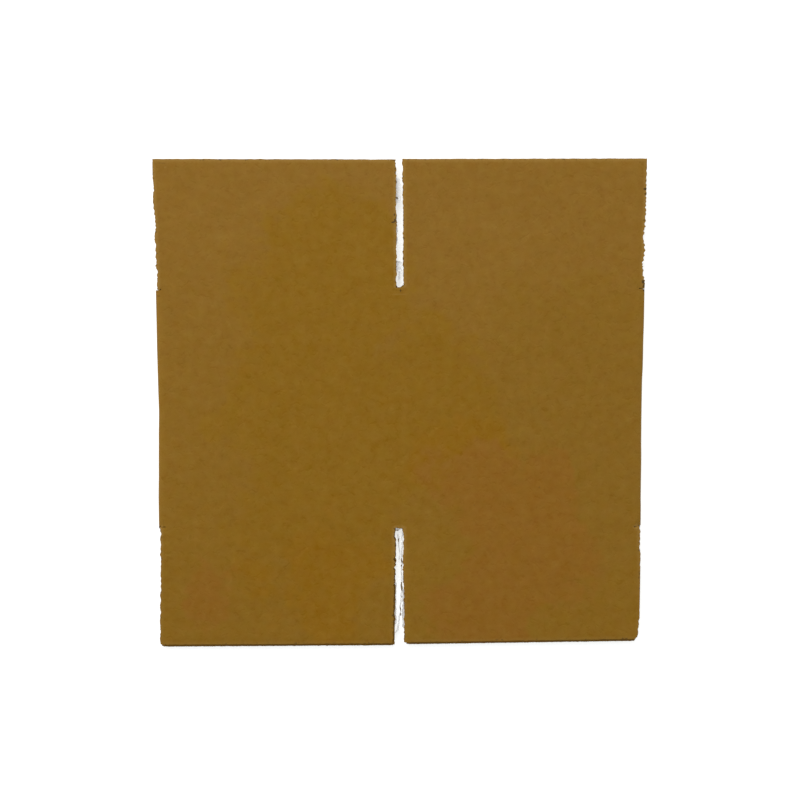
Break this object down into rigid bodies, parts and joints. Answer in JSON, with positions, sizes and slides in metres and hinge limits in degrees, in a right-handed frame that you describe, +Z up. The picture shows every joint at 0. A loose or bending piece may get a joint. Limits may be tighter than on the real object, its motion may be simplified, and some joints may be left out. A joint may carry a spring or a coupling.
{
  "type": "flattened cardboard box",
  "caption": "Plain slotted box of corrugated board, folded flat: two square panels side by side with flaps above and below, folds at the sides and a glued joint behind.",
  "frame": {"origin": "bottom centre of the box that holds the part, on the surface it lies on", "axes": "+Z up out of the outer face that shows two whole panels, +Y along the flutes towards the longer flaps at the top of the picture, +X to the picture's right"},
  "size_m": [0.3162, 0.319, 0.0075],
  "materials": {
    "kraft_board": "matt uncoated brown kraft liner with fine fibres"
  },
  "bodies": {
    "root": {"folded_box_blank": "kraft_board"}
  },
  "joints": []
}
